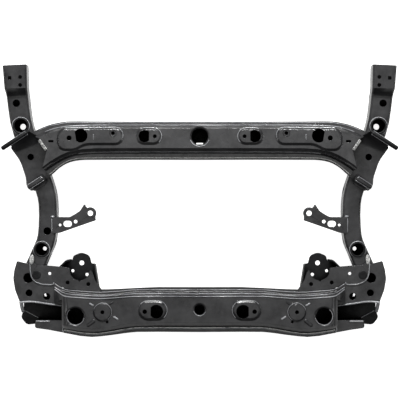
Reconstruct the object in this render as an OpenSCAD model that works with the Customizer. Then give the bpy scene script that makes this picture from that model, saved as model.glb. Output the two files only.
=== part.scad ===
// Rear suspension subframe: two pressed crossmembers welded across two S-curved side rails.
// Millimetres. X is across the vehicle, Y points to the front, Z is up.

/* [Sheet] */
// Thickness of the pressed shells
sheet_t = 2.5; // [2:0.1:3.5]
// Thickness of the gussets and corner plates
plate_t = 3; // [2:0.5:4]
// Thickness of the pivot brackets
bracket_t = 4; // [3:0.5:6]
// Free space between pieces that lap or nest
lap_gap = 0.3; // [0.2:0.1:0.6]

/* [Side rails] */
// Distance of the rails' waist from the middle of the part
rail_x = 403; // [390:1:415]
// Height of the rails
rail_h = 60; // [52:1:70]
// Rise of the outrigger ends above the rails
tip_rise = 20; // [10:1:26]
// Front end of the outrigger arms
tip_y = 355; // [340:1:370]
// Rear end of the rails
rail_end_y = -262; // [-264:1:-256]
// Lower edge of the upper rail shell above the rail's underside
rail_seam_z = 22; // [18:1:30]
// Height of the lap between the two rail shells
rail_lap = 10; // [6:1:14]
// Edge radius of the rail shells
rail_r = 6.5; // [5:0.5:11]
// Access hole in the left rail, radius
access_r = 10; // [6:0.5:12]

/* [Front crossmember] */
// Top of the front crossmember above the rails
front_rise = 45; // [38:1:55]
// Depth of the front crossmember below its flange, mid span
front_dip = 30; // [20:1:38]
// Width of the lower flange beyond the upper one
flange_step = 4; // [3:0.5:6]
// Middle hole of the front crossmember, radius
front_hole_r = 21; // [16:0.5:22]

/* [Rear crossmember] */
// Top of the rear crossmember above the rails
rear_rise = 40; // [34:1:48]
// Middle hole of the rear crossmember, radius
rear_hole_r = 13; // [10:0.5:15]
// Large side holes of the rear crossmember, radius
side_hole_r = 21; // [16:0.5:22]

/* [Pressed details] */
// Height of the raised pads
pad_h = 5; // [3:0.5:6]
// Width of the sloped sides of the long pads
pad_slope = 7.5; // [5:0.5:9]
// Width of the sloped sides of the round bosses
boss_slope = 5; // [4:0.5:7]
// Foot of the round bosses, radius
boss_r = 25; // [20:0.5:28]
// Outer radius along the crowns of the crossmembers
crown_r = 8; // [6:0.5:10]
// Radius at the foot of the crossmember walls
foot_r = 5; // [4:0.5:6]
// Rolled lip of the large holes, radius
lip_r = 6.5; // [5:0.5:8]

/* [Body mounts] */
// Bore of the front body collars, radius
front_bore_r = 17; // [15:0.5:18]
// Bore of the rear body collars, radius
rear_bore_r = 15.5; // [13:0.5:16]
// Wall of the front collars
front_wall_t = 3.5; // [3:0.5:5]
// Wall of the rear collars
rear_wall_t = 3; // [2.5:0.5:4]
// Thickness of the web in the collars
collar_floor = 8; // [6:0.5:12]
// Height of the web in the front collars
front_web_z = 22; // [0:1:30]
// Bolt hole in the bottom of the front collars, radius
front_bolt_r = 8; // [6:0.5:11]
// Bolt hole in the bottom of the rear collars, radius
rear_bolt_r = 5.5; // [5:0.5:9]

/* [Pivot brackets] */
// Size of the weld nuts across their flats
nut_flat = 19; // [17:0.5:22]
// Height of the weld nuts
nut_h = 10; // [8:0.5:12]
// Thread of the weld nuts, radius
thread_r = 5.1; // [4:0.1:6]
// Lean of the upper-arm pivot plates across the car, degrees
arm_angle = 33; // [30:0.5:36]
// Height of the upper-arm plates above the pocket floor
arm_plate_h = 48; // [44:1:56]
// Bolt hole of the upper-arm pivots, radius
arm_bolt_r = 6.2; // [5:0.1:7]
// Bolt hole of the lateral-link pivots, radius
link_bolt_r = 6.5; // [5:0.1:7]
// Floor of the lateral-link pockets above the underside
link_floor_z = 6; // [4:1:12]
// Length of the lateral-link brackets' toes in front of their walls
link_toe = 21; // [12:1:24]
// Eye of the differential brackets, radius
diff_eye_r = 7; // [5:0.5:8]
// Eye of the rear ears, radius
ear_eye_r = 6.4; // [5:0.2:8]
// Height of the rear ear plates above the underside
ear_z = 30; // [24:1:36]

/* [Hidden] */
$fn = 48;
// edges of the crossmembers: distance from the middle, then Y
front_crown_u = [[0, 190], [rail_x - 143, 190], [rail_x - 80, 189], [rail_x - 41, 185.5],
    [rail_x - 15, 179], [rail_x + 6, 171], [rail_x + 21, 164], [rail_x + 47, 150]];
front_crown_l = [[0, 131], [rail_x - 133, 130.5], [rail_x - 91, 127.5], [rail_x - 65, 122.5],
    [rail_x - 44, 114], [rail_x - 26, 104], [rail_x - 8, 92], [rail_x + 9, 79], [rail_x + 47, 46]];
front_edge_u = [[0, 207], [rail_x - 143, 207.5], [rail_x - 58, 208], [rail_x - 33, 205],
    [rail_x - 7, 199], [rail_x + 19, 189], [rail_x + 47, 174.5]];
front_edge_l = [[0, 106], [rail_x - 103, 106], [rail_x - 73, 103], [rail_x - 53, 97],
    [rail_x - 33, 85], [rail_x - 13, 68], [rail_x + 7, 50], [rail_x + 47, 14]];
rear_crown_u = [[0, -251], [169, -251], [rail_x - 195, -255], [rail_x - 161, -259],
    [rail_x - 90, -255], [rail_x - 51, -249.5], [rail_x - 37, -245], [rail_x - 19, -236]];
rear_crown_l = [[0, -324], [150, -324], [rail_x - 209, -328], [rail_x - 170, -335],
    [rail_x - 131, -340], [rail_x - 91, -338], [rail_x - 44, -331], [rail_x - 19, -326]];
rear_edge_u = [[0, -237], [169, -237], [rail_x - 195, -240], [rail_x - 140, -243],
    [rail_x - 87, -240], [rail_x - 51, -236.5], [rail_x - 37, -231], [rail_x - 19, -219.5]];
rear_edge_l = [[0, -339], [160, -338.5], [rail_x - 209, -342], [rail_x - 170, -349],
    [rail_x - 131, -354], [rail_x - 91, -352], [rail_x - 44, -344], [rail_x - 19, -340]];
rear_low_u = [[0, -230], [130, -230], [183, -233], [rail_x - 140, -236], [rail_x - 87, -233],
    [rail_x - 43.4, -228]];
rear_low_l = [[0, -349], [160, -348.5], [rail_x - 209, -351.5], [rail_x - 170, -357],
    [rail_x - 118, -362], [rail_x - 86, -359], [rail_x - 43.4, -351]];
// side rails: Y, then the centre line's offset from the waist, and the width
rail_line = [[rail_end_y, -49], [-237, -50], [-212, -47], [-172, -32], [-132, -15], [-106, -4.5],
    [-66, 0], [-13, 0], [26, -6.5], [100, -34], [172, -61], [211, -72], [tip_y - 77, -80.5],
    [tip_y - 61, -81], [tip_y, -84]];
rail_width = [[rail_end_y, 54], [-212, 53], [-172, 50], [-132, 48.5], [-66, 48], [-13, 48],
    [26, 50], [100, 53], [211, 56], [tip_y - 77, 57], [tip_y - 61, 60], [tip_y, 64]];
// shares of the rail's length where its section is drawn
rail_stops = [1, 0.96, 0.92, 0.9, 0.885, 0.87, 0.82, 0.765, 0.72, 0.68, 0.63, 0.58, 0.53, 0.48, 0.44, 0.41,
    0.36, 0.31, 0.27, 0.24, 0.21, 0.18, 0.15, 0.115, 0.08, 0.04, 0];
// rearmost edge, and the shift that puts the middle of the part at Y = 0
bulge_y = -362;
y0 = -(tip_y + bulge_y) / 2;
front_z = rail_h + 2 * sheet_t;
rear_flange_z = rail_h + plate_t;
front_top = rail_h + front_rise;
rear_top = rail_h + rear_rise;
floor_z = rail_h + sheet_t;
black = [0.13, 0.13, 0.14];
front_collar = [curve(rail_line, 196) - 1.5, 196];
rear_collar = [curve(rail_line, -131) - 0.5, -131];
// corners of the upper-arm plates and places of the lateral link, X from the rail's waist
arm_outer = [-112, 134];
arm_inner = [-46, 36];
arm_bolt_z = floor_z + 25;
link_bolt = [-8, 34];
link_front_y = -268;
link_rear_y = -318;
link_end_x = 43;
link_out_x = -71;
front_hole = [0, 165];
rear_hole = [0, -286.5];
side_hole = [79 - rail_x, -303.5];
round_boss = [150 - rail_x, -292];
front_pad = [[62.4 - rail_x, 160], [-226, 166.5]];
inner_pad = [[-144, 166], [-120, 166]];
rear_pad = [[-134.5, -287.5], [-110, -287.5]];
front_pad_edge = rounded([[30.5 - rail_x, 188.5, 27], [30.5 - rail_x, 127, 27], [79 - rail_x, 127, 40],
    [106 - rail_x, 142, 60], [-197.5, 142, 22], [-197.5, 190.5, 22]]);
inner_pad_edge = capsule(inner_pad[0], 23, inner_pad[1], 23);
rear_pad_edge = capsule(rear_pad[0], 27, rear_pad[1], 27);
collar_lap = 3;
// holes that pass through a plate and the rail under it: X, Y, radius
pocket_hole = [-43.6, 113.6, 8.5];
corner_holes = [[-50, -206, 13], [-48, -245.5, 9]];

// smooth value between the points of a list
function slope(p, k) = let (
        a = max(k - 1, 0),
        b = min(k + 1, len(p) - 1))
    (p[b][1] - p[a][1]) / (p[b][0] - p[a][0]);
function span(p, x, k = 0) = (k >= len(p) - 2 || x <= p[k + 1][0]) ? k : span(p, x, k + 1);
function curve(p, x) = let (
        k = span(p, x),
        w = p[k + 1][0] - p[k][0],
        t = (x - p[k][0]) / w,
        a = t * t * (3 - 2 * t),
        b = t * (1 - t) * (1 - t),
        c = -t * t * (1 - t))
    p[k][1] * (1 - a) + p[k + 1][1] * a + w * (slope(p, k) * b + slope(p, k + 1) * c);
function ease(t) = t <= 0 ? 0 : t >= 1 ? 1 : t * t * (3 - 2 * t);
function flip(l) = [for (i = [len(l) - 1 : -1 : 0]) l[i]];

// outline with rounded corners: points [x, y, radius]
function turn(a, b, c, r, n = 5) = let (
        u = (a - b) / norm(a - b),
        v = (c - b) / norm(c - b),
        h = acos(max(-0.9999, min(0.9999, u * v))) / 2,
        d = min(r / tan(h), 0.48 * norm(a - b), 0.48 * norm(c - b)),
        q = d * tan(h),
        m = b + (u + v) / norm(u + v) * q / sin(h),
        s = atan2((b + u * d - m)[1], (b + u * d - m)[0]),
        e = atan2((b + v * d - m)[1], (b + v * d - m)[0]),
        w = e - s > 180 ? e - s - 360 : e - s < -180 ? e - s + 360 : e - s)
    (r <= 0 || h > 88) ? [b] : [for (i = [0 : n]) m + q * ray(s + w * i / n)];
function xy(p) = [p[0], p[1]];
function ray(a) = [cos(a), sin(a)];
function rounded(l) = [for (i = [0 : len(l) - 1])
    each turn(xy(l[(i + len(l) - 1) % len(l)]), xy(l[i]), xy(l[(i + 1) % len(l)]), l[i][2])];
// outline of two circles joined by their tangents
function capsule(a, ra, b, rb, n = 8) = let (
        d = b - a,
        g = atan2(d[1], d[0]),
        f = acos((ra - rb) / norm(d)))
    concat([for (i = [0 : n]) a + ra * ray(g + f + (360 - 2 * f) * i / n)],
        [for (i = [0 : n]) b + rb * ray(g - f + 2 * f * i / n)]);

// pressed sheet: a grid of points on its outer face, made solid to thickness t behind that face
function face_normal(p, i, j) = let (
        u = p[min(i + 1, len(p) - 1)][j] - p[max(i - 1, 0)][j],
        v = p[i][min(j + 1, len(p[0]) - 1)] - p[i][max(j - 1, 0)],
        c = cross(u, v))
    c / norm(c);
module pressing(p, t) {
    n = len(p);
    m = len(p[0]);
    q = [for (i = [0 : n - 1]) [for (j = [0 : m - 1]) p[i][j] - t * face_normal(p, i, j)]];
    o = n * m;
    quads = concat(
        [for (i = [0 : n - 2], j = [0 : m - 2])
            [i * m + j, i * m + j + 1, (i + 1) * m + j + 1, (i + 1) * m + j]],
        [for (i = [0 : n - 2], j = [0 : m - 2])
            [o + i * m + j, o + (i + 1) * m + j, o + (i + 1) * m + j + 1, o + i * m + j + 1]],
        [for (i = [0 : n - 2]) [i * m, (i + 1) * m, o + (i + 1) * m, o + i * m]],
        [for (i = [0 : n - 2])
            [(i + 1) * m + m - 1, i * m + m - 1, o + i * m + m - 1, o + (i + 1) * m + m - 1]],
        [for (j = [0 : m - 2]) [j + 1, j, o + j, o + j + 1]],
        [for (j = [0 : m - 2]) let (k = (n - 1) * m + j) [k, k + 1, o + k + 1, o + k]]);
    polyhedron(concat([for (r = p) each r], [for (r = q) each r]),
        [for (f = quads) each [[f[0], f[1], f[2]], [f[0], f[2], f[3]]]]);
}
// solid through a stack of loops that have one outline each, closed flat at both ends
module loops(l, c) {
    n = len(l[0]);
    k = len(l);
    polyhedron(concat([for (r = l) each r], [[c[0], c[1], l[0][0][2]], [c[0], c[1], l[k - 1][0][2]]]),
        concat(
            [for (i = [0 : k - 2], j = [0 : n - 1]) let (a = i * n + j, b = i * n + (j + 1) % n)
                each [[a, a + n, b + n], [a, b + n, b]]],
            [for (j = [0 : n - 1]) [k * n, j, (j + 1) % n]],
            [for (j = [0 : n - 1]) [k * n + 1, (k - 1) * n + (j + 1) % n, (k - 1) * n + j]]));
}
// the same outline drawn a distance d further in, or out where d is negative
function inset(l, d) = let (n = len(l)) [for (i = [0 : n - 1]) let (
        e = l[(i + 1) % n] - l[(i + n - 1) % n])
    l[i] + d * [-e[1], e[0]] / norm(e)];
// raised pad on an outline, its sides sloped over the width w with a soft foot and edge
function pad_sides(w, h) = [[0, 0.2], [0.28 * w, 0.22 * h], [0.74 * w, 0.8 * h], [w, h]];
module pad(l, w, z, h, sink) {
    n = len(l);
    loops([for (v = concat([[0, -sink]], pad_sides(w, h)))
        [for (p = inset(l, v[0])) [p[0], p[1], z + v[1]]]], (l[0] + l[round(n / 2)]) / 2);
}
module round_pad(at, r, w, z, h, sink) {
    translate([at[0], at[1], z])
        rotate_extrude()
            polygon(concat([[0, -sink], [r, -sink]], [for (v = pad_sides(w, h)) [r - v[0], v[1]]],
                [[0, h]]));
}
// rolled lip round a hole, its outer surface starting level with z
module lip(at, r, z) {
    arc = [for (a = [90 : 15 : 180]) ray(a)];
    translate([at[0], at[1], z - lip_r])
        rotate_extrude()
            polygon(concat([for (p = arc) [r + lip_r, 0] + lip_r * p],
                [for (p = flip(arc)) [r + lip_r, 0] + (lip_r - sheet_t) * p]));
}
module bore(at, r, z1, z2) {
    translate([at[0], at[1], z1])
        cylinder(h = z2 - z1, r = r);
}
// round hole with one flat at distance f from its centre, towards the angle a
module d_hole(at, r, f, a, z1, z2) {
    difference() {
        bore(at, r, z1, z2);
        translate([at[0], at[1], z1 - 1])
            rotate([0, 0, a])
                translate([f, -r, 0])
                    cube([2 * r, 2 * r, z2 - z1 + 2]);
    }
}
// hole of length l and width w with rounded corners, about its middle
module slot(at, l, w, r, z1, z2) {
    slab([for (c = [[-1, -1], [1, -1], [1, 1], [-1, 1]])
        [at[0] + c[0] * l / 2, at[1] + c[1] * w / 2, r]], z1, z2);
}
module slab(l, z1, z2) {
    translate([0, 0, z1])
        linear_extrude(z2 - z1)
            polygon(rounded(l));
}
module both() {
    children();
    mirror([1, 0, 0])
        children();
}
module placed() {
    color(black)
        translate([0, y0, 0])
            children();
}
// pieces of one side, drawn on the left with X from the rail's waist
module side() {
    translate([-rail_x, 0, 0])
        children();
}
module left() {
    placed()
        side()
            children();
}
module right() {
    placed()
        mirror([1, 0, 0])
            side()
                children();
}

// wall of a crossmember from its foot to its crown: [offset from the crown line, share of the height]
function wall(h, out) = concat(
    [for (a = [0 : 30 : 90]) [crown_r / 2 + out + foot_r * (1 - sin(a)), foot_r * (1 - cos(a)) / h]],
    [for (a = [0 : 30 : 90]) [crown_r * (1 - sin(a)) - crown_r / 2, 1 - crown_r * (1 - cos(90 - a)) / h]]);
function across(x, lo, hi, edge_lo, edge_hi, zf, zt, w) = concat(
    [[x, edge_lo, zf]],
    [for (k = w) [x, lo - k[0], zf + (zt - zf) * k[1]]],
    [for (k = flip(w)) [x, hi + k[0], zf + (zt - zf) * k[1]]],
    [[x, edge_hi, zf]]);
front_wall = wall(front_top - front_z, 1);
rear_wall = wall(rear_top - rear_flange_z - sheet_t, 2);
dip_wall = wall(front_dip, 3);
tray_wall = wall(rail_h, 2);
// distances from the middle where the crossmember sections are drawn
function stops(mid, ends) = concat(mid, [for (d = ends) rail_x + d]);
front_stops = stops([0, 150], [-133, -99, -77, -59, -43, -29, -15, -1, 13, 29, 46]);
floor_stops = stops([0, 150], [-113, -98, -85, -73, -61, -51, -43, -37, -31]);
rear_ends = [-203, -183, -161, -141, -118, -88];
rear_stops = stops([0, 110, 165, 182], concat(rear_ends, [-58, -50, -42, -33, -19]));
tray_stops = stops([0, 110, 165, 182], concat(rear_ends, [-43.4]));
function sided(l) = concat([for (i = [len(l) - 1 : -1 : 1]) -l[i]], l);

module front_upper_skin() {
    pressing([for (x = sided(front_stops)) let (d = abs(x))
        across(x, curve(front_crown_l, d), curve(front_crown_u, d), curve(front_edge_l, d) + flange_step,
            curve(front_edge_u, d) - flange_step, front_z, front_top, front_wall)], sheet_t);
}
module front_beam_upper() {
    placed()
        difference() {
            union() {
                difference() {
                    front_upper_skin();
                    bore(front_hole, front_hole_r + lip_r, front_top - 10, front_top + 1);
                }
                lip(front_hole, front_hole_r, front_top);
                both() {
                    pad(front_pad_edge, pad_slope, front_top, pad_h, 2);
                    pad(inner_pad_edge, pad_slope, front_top, pad_h, 2);
                }
            }
            both() {
                pad(inset(front_pad_edge, 1), pad_slope, front_top - sheet_t, pad_h, 3);
                pad(inset(inner_pad_edge, 1), pad_slope, front_top - sheet_t, pad_h, 3);
                front_holes();
                side()
                    front_end();
            }
        }
}
// the open end of the front crossmember over the arm pocket
module front_end() {
    z1 = rail_h - 5;
    z2 = front_top + 9;
    slab([[-43.5, 174, 0], [-12, 158.5, 3], [6, 132.5, 4], [-6.5, 83, 4], [3, 66, 0], [7, 0, 0],
        [-77, 0, 0], [-77, 190, 0]], z1, z2);
    slab([[-43.5, 174, 0], [-77, 160, 0], [-77, 230, 0], [-46, 230, 0]], z1, z2);
}
module front_holes() {
    z1 = front_top - 9;
    z2 = front_top + 9;
    bore(front_pad[0] + [1.6, 1], 6.5, z1, z2);
    d_hole(front_pad[0] + [31.2, 7], 18, 13, 190, z1, z2);
    bore(front_pad[1] + [1, 7.5], 5, z1, z2);
    d_hole(inner_pad[0] + [1, 0], 16, 11.5, 0, z1, z2);
    bore(inner_pad[1] + [3.5, -0.5], 5, z1, z2);
    slot(front_pad[0] + [-46.4, -7], 14, 6, 2.9, z1, z2);
}
function front_depth(x) = front_dip * (1 - ease((abs(x) - rail_x + 103) / 60));
module front_beam_lower() {
    placed()
        difference() {
            union() {
                pressing([for (x = sided(floor_stops)) let (d = abs(x))
                    across(x, curve(front_crown_l, d) + 4, curve(front_crown_u, d) - 4,
                        curve(front_edge_l, d), curve(front_edge_u, d), floor_z,
                        floor_z - front_depth(x), dip_wall)], sheet_t);
                both()
                    side()
                        pocket_floor();
            }
            both() {
                side()
                    bore(pocket_hole, pocket_hole[2], rail_h - 5, floor_z + 5);
                bore([-225, 160], 8, 0, floor_z + 5);
            }
            slot([0, 150.75], 18, 3.5, 1.7, 0, floor_z + 5);
        }
}
// floor of the upper-arm pocket, carried on from the flanges of the lower shell
function at_edge(edge, x) = [x, curve(edge, rail_x - x), 0];
module pocket_floor() {
    slab(concat([at_edge(front_edge_l, 31), [11, 65.5, 20], [-30, 29, 3], [-43, 23, 6], [-55, 40, 10],
            [-56, 58, 60], [-71, 103, 90], [-96, 137, 4], [-91, 152.6, 2], [-49, 179.9, 0]],
        [for (x = [-37 : 12 : 23]) at_edge(front_edge_u, x)],
        [at_edge(front_edge_u, 31)]), rail_h, floor_z);
}

// the rear crossmember falls away at both ends
function rear_crest(d) = let (zf = rear_flange_z + sheet_t)
    rear_top - (rear_top - zf) * 0.9 * ease((d - rail_x + 58) / 39);
module rear_beam_upper() {
    zf = rear_flange_z + sheet_t;
    placed()
        difference() {
            union() {
                difference() {
                    pressing([for (x = sided(rear_stops)) let (d = abs(x))
                        across(x, curve(rear_crown_l, d), curve(rear_crown_u, d), curve(rear_edge_l, d),
                            curve(rear_edge_u, d), zf, rear_crest(d), rear_wall)], sheet_t);
                    bore(rear_hole, rear_hole_r + lip_r, rear_top - 12, rear_top + 1);
                    both()
                        bore(side_hole, side_hole_r + lip_r, rear_top - 12, rear_top + 1);
                }
                lip(rear_hole, rear_hole_r, rear_top);
                both() {
                    lip(side_hole, side_hole_r, rear_top);
                    pad(rear_pad_edge, pad_slope, rear_top, pad_h, 2);
                    round_pad(round_boss, boss_r, boss_slope, rear_top, pad_h, 2);
                }
            }
            both() {
                pad(inset(rear_pad_edge, 1), pad_slope, rear_top - sheet_t, pad_h, 3);
                round_pad(round_boss, boss_r - 1, boss_slope, rear_top - sheet_t, pad_h, 3);
                rear_holes();
                // clear of the link pocket
                side()
                    slab([[link_end_x - 0.5, -260, 0], [link_end_x - 0.5, -370, 0], [3, -370, 0],
                        [3, -282, 0]], rail_h - 5, rear_top + 9);
            }
        }
}
module rear_holes() {
    z1 = rear_top - 9;
    z2 = rear_top + 9;
    d_hole(rear_pad[1] + [-3, -3], 18, 14.5, 180, z1, z2);
    bore(rear_pad[0] + [-8.5, -3], 5.8, z1, z2);
    bore(round_boss, 5, z1, z2);
    bore(round_boss + [12, -26], 3.5, z1, z2);
}
module rear_beam_lower() {
    z = rear_flange_z;
    placed()
        difference() {
            pressing([for (x = sided(tray_stops)) let (d = abs(x))
                across(x, curve(rear_crown_l, d) + 2, curve(rear_crown_u, d) - 2,
                    curve(rear_low_l, d), curve(rear_low_u, d), z, sheet_t, tray_wall)], sheet_t);
            both()
                bore([-190, -296], 8, -1, 9);
        }
}

// side rails, drawn on the left
function rail_y(k) = rail_end_y + (tip_y - rail_end_y) * k;
function lift(y) = tip_rise * ease((y - tip_y + 79) / 20);
function rail_dir(y) = let (d = [curve(rail_line, y + 1) - curve(rail_line, y - 1), 2]) d / norm(d);
function rail_at(y, s, z) = let (d = rail_dir(y)) [curve(rail_line, y) + d[1] * s, y - d[0] * s, z];
function rim(a1, a2) = [for (a = [a1 : (a2 - a1) / 3 : a2 + 0.01 * sign(a2 - a1)]) ray(a)];
module rail_upper() {
    pressing([for (k = rail_stops) let (
            y = rail_y(k),
            w = curve(rail_width, y) / 2,
            z = rail_h + lift(y),
            e = rail_seam_z + lift(y))
        concat([rail_at(y, -w, e)],
            [for (c = rim(180, 90)) rail_at(y, -w + rail_r + rail_r * c[0], z - rail_r + rail_r * c[1])],
            [for (c = rim(90, 0)) rail_at(y, w - rail_r + rail_r * c[0], z - rail_r + rail_r * c[1])],
            [rail_at(y, w, e)])], sheet_t);
}
module rail_lower() {
    pressing([for (k = rail_stops) let (
            y = rail_y(k),
            w = curve(rail_width, y) / 2 - sheet_t - lap_gap,
            z = lift(y),
            e = rail_seam_z + rail_lap + lift(y))
        concat([rail_at(y, w, e)],
            [for (c = rim(0, -90)) rail_at(y, w - rail_r + rail_r * c[0], z + rail_r + rail_r * c[1])],
            [for (c = rim(-90, -180)) rail_at(y, -w + rail_r + rail_r * c[0], z + rail_r + rail_r * c[1])],
            [rail_at(y, -w, e)])], sheet_t);
}
module rail_upper_cut(access) {
    difference() {
        rail_upper();
        bore(front_collar, front_bore_r + front_wall_t + lap_gap, rail_h - 6, rail_h + 5);
        bore(rear_collar, rear_bore_r + rear_wall_t + lap_gap, rail_h - 6, rail_h + 5);
        z1 = rail_h + tip_rise - 6;
        z2 = rail_h + tip_rise + 5;
        slot([-96, tip_y - 34.5], 9, 9, 1.2, z1, z2);
        for (d = [32, 53])
            bore([-68.5, tip_y - d], 5, z1, z2);
        bore([-82, 256], 9.7, rail_h - 6, rail_h + 5);
        for (h = concat(corner_holes, [pocket_hole]))
            bore(h, h[2] + 1, rail_h - 6, rail_h + 5);
        if (access)
            bore([0, -82], access_r, rail_h - 6, rail_h + 5);
    }
}
module rail_lower_cut() {
    difference() {
        rail_lower();
        bore(front_collar, front_bore_r + front_wall_t + lap_gap, -1, rail_h);
        bore(rear_collar, rear_bore_r + rear_wall_t + lap_gap, -1, rail_h);
        bore([-2, -40], 7, -1, 7);
        bore([-11.5, 40], 7, -1, 7);
    }
}
module left_rail_upper() {
    left()
        rail_upper_cut(true);
}
module right_rail_upper() {
    right()
        rail_upper_cut(false);
}
module left_rail_lower() {
    left()
        rail_lower_cut();
}
module right_rail_lower() {
    right()
        rail_lower_cut();
}

// body-mount collars: a turned cup with a flanged rim and a bolt hole in its web
module collar(at, r, wall_t, bolt, rim_w, web_z) {
    out = r + wall_t;
    top = rail_h + collar_lap;
    below = web_z > 0 ? [[r, web_z], [r, 0]] : [];
    translate([at[0], at[1], 0])
        rotate_extrude()
            polygon(concat([[bolt, web_z]], below, [[out, 0], [out, rail_h], [out + rim_w, rail_h],
                [out + rim_w, top - 1], [out + rim_w - 1, top], [r + 1, top], [r, top - 1],
                [r, web_z + collar_floor], [bolt, web_z + collar_floor]]));
}
module front_cup() {
    collar(front_collar, front_bore_r, front_wall_t, front_bolt_r, 2, front_web_z);
}
module rear_cup() {
    collar(rear_collar, rear_bore_r, rear_wall_t, rear_bolt_r, 2.5, 0);
}
module left_front_collar() {
    left()
        front_cup();
}
module right_front_collar() {
    right()
        front_cup();
}
module left_rear_collar() {
    left()
        rear_cup();
}
module right_rear_collar() {
    right()
        rear_cup();
}

// upper-arm pocket plates; local x runs along the plate, y across it
pivot_x = 36;
pivot_gap = (arm_inner - arm_outer) * [sin(arm_angle), -cos(arm_angle)];
pivot_shift = (arm_inner - arm_outer) * [cos(arm_angle), sin(arm_angle)];
module upright(l) {
    rotate([90, 0, 0])
        translate([0, 0, -bracket_t])
            linear_extrude(bracket_t)
                polygon(rounded(l));
}
module at_outer() {
    translate([arm_outer[0], arm_outer[1], floor_z])
        rotate([0, 0, arm_angle])
            children();
}
module at_inner() {
    translate([arm_inner[0], arm_inner[1], floor_z])
        rotate([0, 0, arm_angle])
            children();
}
module pivot_hole(x) {
    translate([x, -30, arm_bolt_z - floor_z])
        rotate([-90, 0, 0])
            cylinder(h = 60, r = arm_bolt_r);
}
module arm_plate_outer() {
    at_outer()
        difference() {
            upright([[0, 0, 4], [80, 0, 2], [80, arm_plate_h - 6, 8], [66, arm_plate_h, 10],
                [5, arm_plate_h, 3], [0, arm_plate_h - 5, 3]]);
            pivot_hole(pivot_x);
        }
}
module arm_plate_inner() {
    foot = 14;
    at_inner()
        difference() {
            translate([0, -bracket_t, 0])
                union() {
                    upright([[0, 0, 0], [47, 0, 0], [47, arm_plate_h - 12, 8], [40, arm_plate_h, 6],
                        [4, arm_plate_h, 8], [0, arm_plate_h - 10, 6]]);
                    translate([0, -foot, 0])
                        linear_extrude(bracket_t)
                            polygon(rounded([[4, 0, 4], [40, 0, 4], [46, foot + 1, 0], [0, foot + 1, 0]]));
                }
            pivot_hole(pivot_x - pivot_shift);
        }
}
module left_arm_plate_outer() {
    left()
        arm_plate_outer();
}
module right_arm_plate_outer() {
    right()
        arm_plate_outer();
}
module left_arm_plate_inner() {
    left()
        arm_plate_inner();
}
module right_arm_plate_inner() {
    right()
        arm_plate_inner();
}

// flat plates over the rear corners
module corner_plate() {
    difference() {
        slab([[-80, -161, 3], [-52, -168, 2], [-17, -186, 10], [39, -228, 4],
            [link_end_x - 3, -250, 2], [link_end_x - 3, -279, 1], [3, -275, 40], [-41, -267, 30],
            [-72, -271, 3], [-85, -238, 40], [-90, -208, 40], [-87, -185, 40]], rail_h, rail_h + plate_t);
        for (h = concat(corner_holes, [[-1, -255, 9]]))
            bore(h, h[2], rail_h - 5, rail_h + 9);
    }
}
module gusset() {
    difference() {
        slab([[-45.5, -172, 20], [-44, -143, 3], [-39, -141, 2], [-35, -166, 6], [-25, -172, 4],
            [3, -173, 0], [39, -176, 0], [59, -179, 2], [85, -216, 0], [115, -184, 2], [120, -191, 4],
            [127, -212, 10], [144, -236, 1], [141, -242, 0], [87, -239, 4], [51, -235, 4],
            [37, -229.6, 4], [18.4, -217.5, 1], [16, -224, 1], [-21, -222, 12], [-42, -208, 22]],
            rail_h + plate_t, rail_h + 2 * plate_t);
        for (h = [[7, -194, 4], [54.5, -218, 5], [109, -222, 5]])
            bore(h, h[2], rail_h, rail_h + 9);
        bore([86, -186], 26, rail_h, rail_h + 9);
    }
}
module left_corner_plate() {
    left()
        corner_plate();
}
module right_corner_plate() {
    right()
        corner_plate();
}
module left_gusset() {
    left()
        gusset();
}
module right_gusset() {
    right()
        gusset();
}

// lateral-link pockets: floor, three walls and a flange along the rear
module link_bracket() {
    t = bracket_t;
    x = link_end_x;
    y1 = link_front_y;
    y2 = link_rear_y;
    difference() {
        union() {
            slab([[x, y1 - t, 0], [x, y2, 0], [-29, y2, 2], [-33, y2 - 15, 6], [-63, y2 - 18, 14],
                [-79, y2 + 2, 12], [link_out_x, y2 + 22, 20], [link_out_x, y1 - t, 0]],
                link_floor_z, link_floor_z + t);
            slab([[x - t, y1 - t, 0], [link_out_x, y1 - t, 2], [link_out_x, y1, 2], [x - t, y1, 0]],
                link_floor_z, rail_h);
            slab([[x - t, y1, 0], [x, y1, 0], [x, y2, 0], [x - t, y2, 0]], link_floor_z, rail_h);
            slab([[x, y1 - 1, 0], [-21, y1 - 1, 0], [-21, y1 + link_toe, 3], [x, y1 + link_toe, 3]],
                link_floor_z, link_floor_z + t);
            slab([[x, y2, 0], [-31, y2, 1], [-31, y2 - t, 1], [x, y2 - t, 0]],
                link_floor_z, rail_h + plate_t);
            slab([[x, y2, 0], [-31, y2, 1], [-33, y2 - 20, 6], [3, y2 - 25, 0], [x, y2 - 32.5, 0]],
                rail_h + plate_t - t, rail_h + plate_t);
        }
        slab([[-17.5, y1 + 17, 1], [-12, y1 + 17, 1], [-7, y1 + 1, 1], [-12.5, y1 + 1, 1]],
            link_floor_z - 1, link_floor_z + t + 1);
        translate([link_bolt[0], y2 - 47, link_bolt[1]])
            rotate([-90, 0, 0])
                cylinder(h = y1 - y2 + 60, r = link_bolt_r);
    }
}
module left_link_bracket() {
    left()
        link_bracket();
}
module right_link_bracket() {
    right()
        link_bracket();
}

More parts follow.
